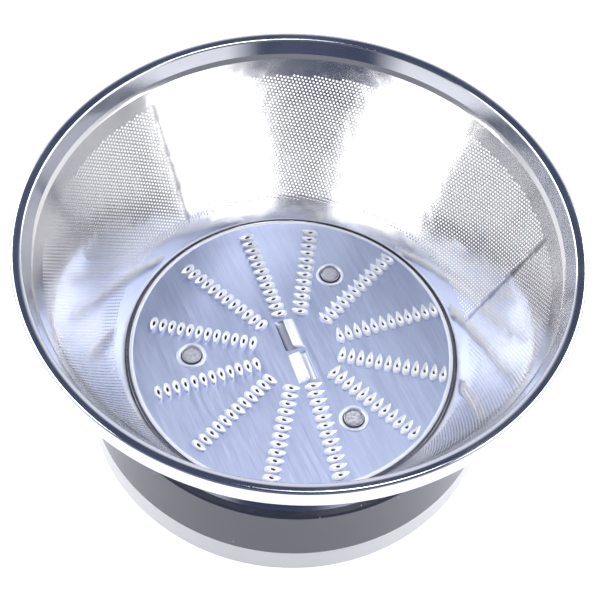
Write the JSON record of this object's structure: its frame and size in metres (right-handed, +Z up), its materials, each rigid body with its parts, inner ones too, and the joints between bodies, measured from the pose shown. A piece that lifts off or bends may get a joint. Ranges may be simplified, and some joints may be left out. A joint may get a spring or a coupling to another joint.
{
  "type": "juicer filter basket",
  "caption": "Conical steel juicer sieve with a rolled rim, a toothed grater disc riveted in its floor and a two-tone moulded base with a drive socket.",
  "frame": {"origin": "on the spin axis, at the bottom edge of the white base ring", "axes": "+Z up along the spin axis, out of the basket's mouth; +X and +Y lie in the resting plane"},
  "size_m": [0.165, 0.165, 0.082],
  "materials": {
    "polished_steel": "polished stainless steel",
    "filter_steel": "bright rolled stainless sheet, etched with fine round holes",
    "brushed_steel": "straight-grained brushed stainless steel",
    "rivet_steel": "matt stainless steel",
    "bush_steel": "turned stainless steel",
    "black_plastic": "black moulded plastic, satin gloss",
    "white_plastic": "white moulded plastic, fine satin"
  },
  "bodies": {
    "root": {"rim_ring": "polished_steel", "filter_wall": "filter_steel", "foot_collar": "polished_steel", "grater_disc": "brushed_steel", "rivets": "rivet_steel", "rivet_washers": "rivet_steel", "carrier": "black_plastic", "base_hub": "white_plastic", "drive_bush": "bush_steel", "base_screws": "rivet_steel"}
  },
  "joints": []
}
